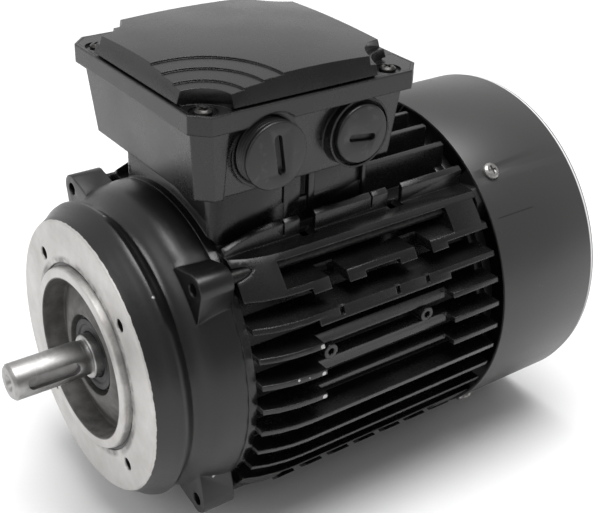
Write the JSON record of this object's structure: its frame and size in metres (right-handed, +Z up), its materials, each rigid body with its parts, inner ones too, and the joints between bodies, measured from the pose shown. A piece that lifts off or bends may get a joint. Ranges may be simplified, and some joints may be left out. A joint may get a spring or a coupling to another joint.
{
  "type": "electric motor",
  "caption": "Enclosed fan-cooled three-phase motor with a small face flange, a keyed shaft end, a finned frame, a fan cowl and a terminal box on top.",
  "frame": {"origin": "where the shaft axis meets the drive-end flange face", "axes": "+Y along the shaft from the flange towards the fan, +Z up towards the terminal box, +X to the side that holds the blanking plugs"},
  "size_m": [0.1386, 0.2315, 0.1839],
  "materials": {
    "black_cast": "satin black paint on die-cast aluminium",
    "black_sheet": "satin black paint on pressed steel",
    "machined_steel": "turned, satin",
    "bearing_steel": "ground and polished",
    "black_oxide": "black oxide",
    "zinc_steel": "zinc plated",
    "spring_steel": "phosphated",
    "lamination": "blued electrical steel",
    "cage_aluminium": "as cast",
    "copper": "varnished",
    "brass": "bright",
    "rubber": "matt",
    "black_plastic": "satin",
    "board_plastic": "moulded",
    "lead_insulation": "satin"
  },
  "bodies": {
    "housing": {"drive_end_shield": "black_cast", "stator_frame": "black_cast", "rear_end_shield": "black_cast", "fan_cowl": "black_sheet", "cowl_screws": "zinc_steel", "tie_bolts": "black_oxide", "shaft_seal": "rubber", "rear_seal": "rubber", "preload_washer": "spring_steel", "front_bearing_outer_race": "bearing_steel", "rear_bearing_outer_race": "bearing_steel", "stator_core": "lamination", "stator_windings": "copper", "terminal_box_base": "black_cast", "box_base_screws": "zinc_steel", "terminal_box_gasket": "rubber", "terminal_box_lid": "black_cast", "lid_screws": "zinc_steel", "front_blanking_plug": "black_plastic", "rear_blanking_plug": "black_plastic", "rear_plug_washer": "rubber", "terminal_board": "board_plastic", "terminal_studs": "brass", "terminal_nuts": "brass", "link_bars": "brass", "earth_screw": "brass", "winding_leads": "lead_insulation", "lead_grommet": "rubber"},
    "rotor": {"rotor_shaft": "machined_steel", "rotor_core": "lamination", "rotor_cage": "cage_aluminium", "front_bearing_inner_race": "bearing_steel", "rear_bearing_inner_race": "bearing_steel", "fan_key": "zinc_steel", "cooling_fan": "black_plastic", "fan_circlip": "spring_steel"},
    "front_ball_set": {"front_bearing_balls": "bearing_steel", "front_bearing_cage": "brass"},
    "rear_ball_set": {"rear_bearing_balls": "bearing_steel", "rear_bearing_cage": "brass"}
  },
  "joints": [
    {"name": "rotor_spin", "type": "hinge", "parent": "housing", "child": "rotor", "pos_m": [0, 0, 0], "axis": [0, 1, 0], "continuous": true},
    {"name": "front_ball_orbit", "type": "hinge", "parent": "housing", "child": "front_ball_set", "pos_m": [0, 0.019, 0], "axis": [0, 1, 0], "continuous": true},
    {"name": "rear_ball_orbit", "type": "hinge", "parent": "housing", "child": "rear_ball_set", "pos_m": [0, 0.158, 0], "axis": [0, 1, 0], "continuous": true}
  ],
  "couplings": [
    {"joint": "front_ball_orbit", "follows": "rotor_spin", "ratio": 0.3842},
    {"joint": "rear_ball_orbit", "follows": "rotor_spin", "ratio": 0.3842}
  ]
}
